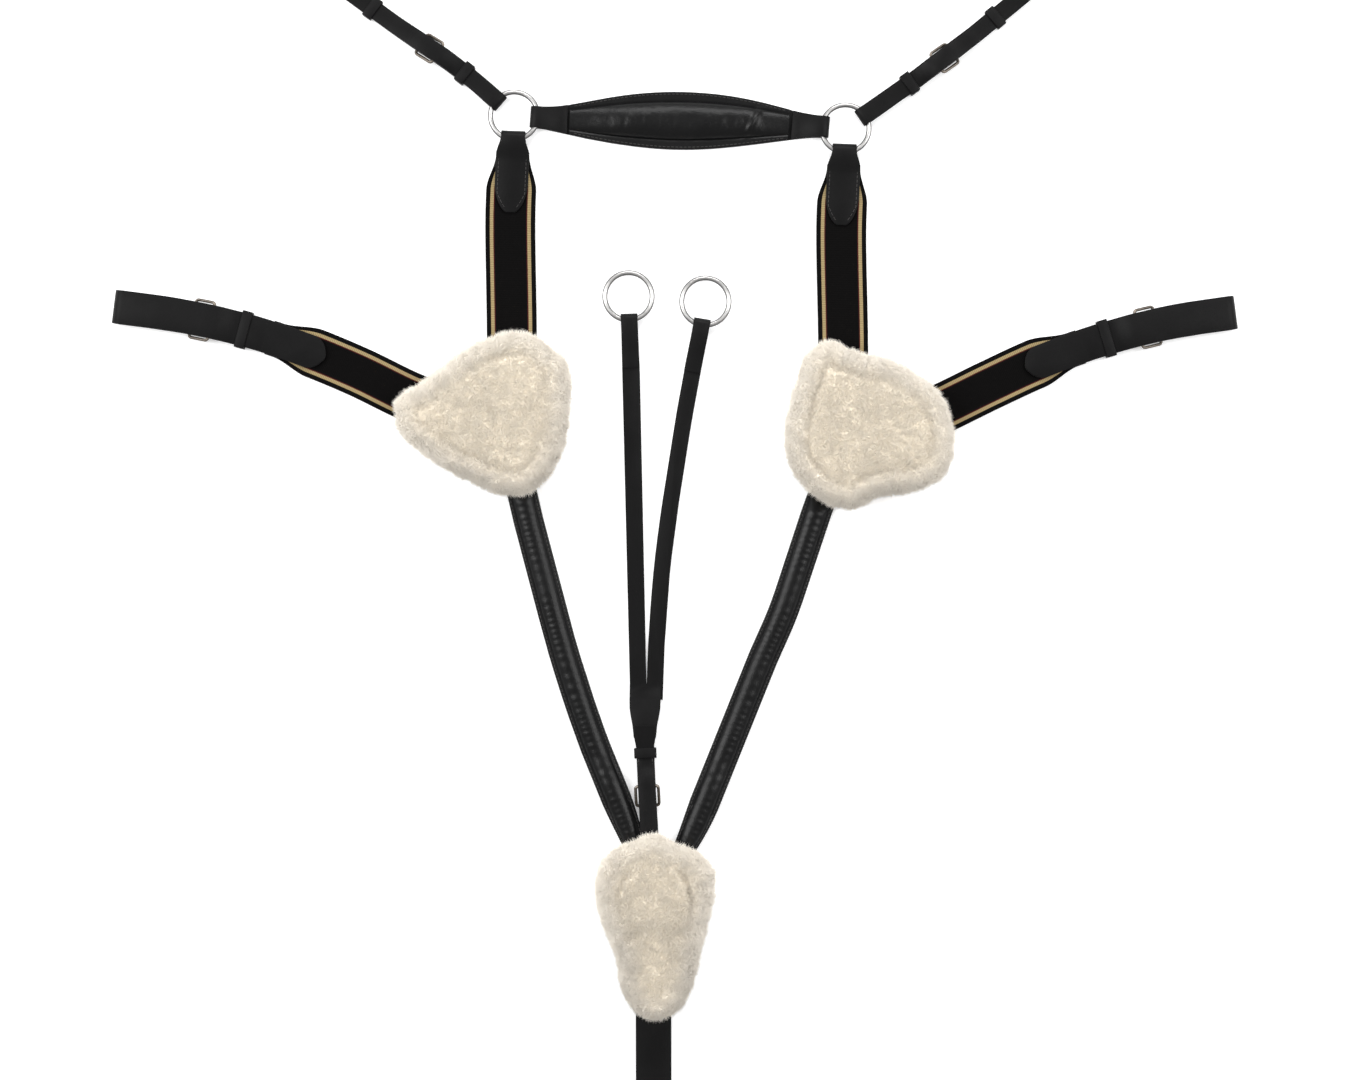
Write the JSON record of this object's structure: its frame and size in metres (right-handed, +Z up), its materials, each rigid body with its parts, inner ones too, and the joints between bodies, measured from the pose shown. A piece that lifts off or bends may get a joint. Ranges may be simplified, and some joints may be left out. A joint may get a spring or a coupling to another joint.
{
  "type": "horse breastplate",
  "caption": "Five-point horse breastplate laid flat: elastic and padded leather straps, sheepskin pads and a running-martingale fork with rings.",
  "frame": {"origin": "on the ground under the middle of the whole breastplate as it lies flat", "axes": "+Y towards the horse's neck and saddle, +X to the right of the picture, +Z up out of the sheepskin side"},
  "size_m": [1.0108, 1.2806, 0.0412],
  "materials": {
    "leather": "satin, fine grain",
    "soft_leather": "soft sheen, creased",
    "webbing": "woven, matt, two gold stripes",
    "sheepskin": "dense cream pile",
    "nickel": "polished",
    "antique_metal": "antiqued, dark"
  },
  "bodies": {
    "front": {"martingale_tail": "leather", "martingale_chape": "leather", "martingale_buckle": "antique_metal", "martingale_keeper": "leather", "chest_backing": "soft_leather", "chest_fleece": "sheepskin", "left_neck_chape": "leather", "left_upper_elastic": "webbing", "left_upper_chape": "leather", "left_padded_strap": "leather", "left_padded_facing": "soft_leather", "left_shoulder_backing": "soft_leather", "left_shoulder_fleece": "sheepskin", "right_neck_chape": "leather", "right_upper_elastic": "webbing", "right_upper_chape": "leather", "right_padded_strap": "leather", "right_padded_facing": "soft_leather", "right_shoulder_backing": "soft_leather", "right_shoulder_fleece": "sheepskin"},
    "wither": {"wither_strap": "soft_leather", "wither_lining": "soft_leather"},
    "fork": {"martingale_fork": "leather"},
    "martingale_tongue": {"martingale_tongue": "antique_metal"},
    "chest_ring": {"chest_ring": "nickel"},
    "belly": {"belly_strap": "leather", "belly_chape": "leather", "belly_buckle": "antique_metal", "belly_keeper": "leather"},
    "belly_tongue": {"belly_tongue": "antique_metal"},
    "left_neck_ring": {"left_neck_ring": "nickel"},
    "left_saddle": {"left_saddle_strap": "leather", "left_saddle_buckle": "antique_metal", "left_saddle_keeper": "leather"},
    "left_saddle_tongue": {"left_saddle_tongue": "antique_metal"},
    "left_saddle_runner": {"left_saddle_runner": "leather"},
    "left_shoulder_ring": {"left_shoulder_ring": "nickel"},
    "left_side": {"left_side_chape": "leather", "left_side_elastic": "webbing", "left_girth_loop": "leather", "left_girth_chape": "leather", "left_girth_buckle": "antique_metal", "left_girth_keeper": "leather"},
    "left_girth_tongue": {"left_girth_tongue": "antique_metal"},
    "left_martingale_ring": {"left_martingale_ring": "nickel"},
    "right_neck_ring": {"right_neck_ring": "nickel"},
    "right_saddle": {"right_saddle_strap": "leather", "right_saddle_buckle": "antique_metal", "right_saddle_keeper": "leather"},
    "right_saddle_tongue": {"right_saddle_tongue": "antique_metal"},
    "right_saddle_runner": {"right_saddle_runner": "leather"},
    "right_shoulder_ring": {"right_shoulder_ring": "nickel"},
    "right_side": {"right_side_chape": "leather", "right_side_elastic": "webbing", "right_girth_loop": "leather", "right_girth_chape": "leather", "right_girth_buckle": "antique_metal", "right_girth_keeper": "leather"},
    "right_girth_tongue": {"right_girth_tongue": "antique_metal"},
    "right_martingale_ring": {"right_martingale_ring": "nickel"}
  },
  "joints": [
    {"name": "neck_fold", "type": "hinge", "parent": "front", "child": "wither", "pos_m": [-0.14511, 0.47564, 0.00603], "axis": [0.9992, -0.039, 0], "range_deg": [0, 80]},
    {"name": "left_neck_ring_turn", "type": "hinge", "parent": "wither", "child": "left_neck_ring", "pos_m": [-0.14434, 0.49519, 0.00603], "axis": [0, 0, 1], "range_deg": [-15, 15]},
    {"name": "left_saddle_fold", "type": "hinge", "parent": "left_neck_ring", "child": "left_saddle", "pos_m": [-0.15967, 0.5086, 0.00603], "axis": [0.6625, 0.7491, 0], "range_deg": [0, 75]},
    {"name": "left_saddle_tongue_swing", "type": "hinge", "parent": "left_saddle", "child": "left_saddle_tongue", "pos_m": [-0.21276, 0.55039, 0.01095], "axis": [-0.5572, -0.8304, 0], "range_deg": [0, 15]},
    {"name": "left_saddle_runner_slide", "type": "slide", "parent": "left_saddle", "child": "left_saddle_runner", "axis": [-0.8074, 0.5901, 0], "range_m": [-0.012, 0.012]},
    {"name": "left_shoulder_ring_turn", "type": "hinge", "parent": "front", "child": "left_shoulder_ring", "pos_m": [-0.14744, 0.20949, 0.00603], "axis": [0, 0, 1], "continuous": true},
    {"name": "left_side_swing", "type": "hinge", "parent": "front", "child": "left_side", "pos_m": [-0.14744, 0.20949, 0.00603], "axis": [0, 0, 1], "range_deg": [-12, 12]},
    {"name": "left_girth_tongue_swing", "type": "hinge", "parent": "left_side", "child": "left_girth_tongue", "pos_m": [-0.41573, 0.30975, 0.01095], "axis": [-0.2123, -0.9772, 0], "range_deg": [0, 15]},
    {"name": "left_martingale_ring_flip", "type": "hinge", "parent": "fork", "child": "left_martingale_ring", "pos_m": [-0.04098, 0.31252, 0.00512], "axis": [0.9994, 0.0335, 0], "range_deg": [0, 150]},
    {"name": "right_neck_ring_turn", "type": "hinge", "parent": "wither", "child": "right_neck_ring", "pos_m": [0.15316, 0.48359, 0.00603], "axis": [0, 0, 1], "range_deg": [-15, 15]},
    {"name": "right_saddle_fold", "type": "hinge", "parent": "right_neck_ring", "child": "right_saddle", "pos_m": [0.16992, 0.49516, 0.00603], "axis": [0.5669, -0.8238, 0], "range_deg": [0, 75]},
    {"name": "right_saddle_tongue_swing", "type": "hinge", "parent": "right_saddle", "child": "right_saddle_tongue", "pos_m": [0.23481, 0.5413, 0.01095], "axis": [-0.5988, 0.8009, 0], "range_deg": [0, 15]},
    {"name": "right_saddle_runner_slide", "type": "slide", "parent": "right_saddle", "child": "right_saddle_runner", "axis": [0.7713, 0.6365, 0], "range_m": [-0.012, 0.012]},
    {"name": "right_shoulder_ring_turn", "type": "hinge", "parent": "front", "child": "right_shoulder_ring", "pos_m": [0.15046, 0.19509, 0.00603], "axis": [0, 0, 1], "continuous": true},
    {"name": "right_side_swing", "type": "hinge", "parent": "front", "child": "right_side", "pos_m": [0.15046, 0.19509, 0.00603], "axis": [0, 0, 1], "range_deg": [-12, 12]},
    {"name": "right_girth_tongue_swing", "type": "hinge", "parent": "right_side", "child": "right_girth_tongue", "pos_m": [0.41591, 0.30287, 0.01095], "axis": [-0.2439, 0.9698, 0], "range_deg": [0, 15]},
    {"name": "right_martingale_ring_flip", "type": "hinge", "parent": "fork", "child": "right_martingale_ring", "pos_m": [0.0241, 0.30809, 0.00512], "axis": [0.9855, -0.1697, 0], "range_deg": [0, 150]},
    {"name": "chest_ring_turn", "type": "hinge", "parent": "front", "child": "chest_ring", "pos_m": [-0.01874, -0.21441, 0.00835], "axis": [0, 0, 1], "continuous": true},
    {"name": "belly_swing", "type": "hinge", "parent": "front", "child": "belly", "pos_m": [-0.01874, -0.21441, 0.00835], "axis": [0, 0, 1], "range_deg": [-15, 15]},
    {"name": "belly_tongue_swing", "type": "hinge", "parent": "belly", "child": "belly_tongue", "pos_m": [-0.01872, -0.54641, 0.01095], "axis": [1, 0.0003, 0], "range_deg": [0, 15]},
    {"name": "fork_lift", "type": "hinge", "parent": "front", "child": "fork", "pos_m": [-0.02686, -0.06364, 0.01005], "axis": [0.9999, 0.0163, 0], "range_deg": [0, 110]},
    {"name": "martingale_tongue_swing", "type": "hinge", "parent": "front", "child": "martingale_tongue", "pos_m": [-0.02511, -0.1066, 0.01095], "axis": [0.9988, 0.0496, 0], "range_deg": [0, 15]}
  ]
}
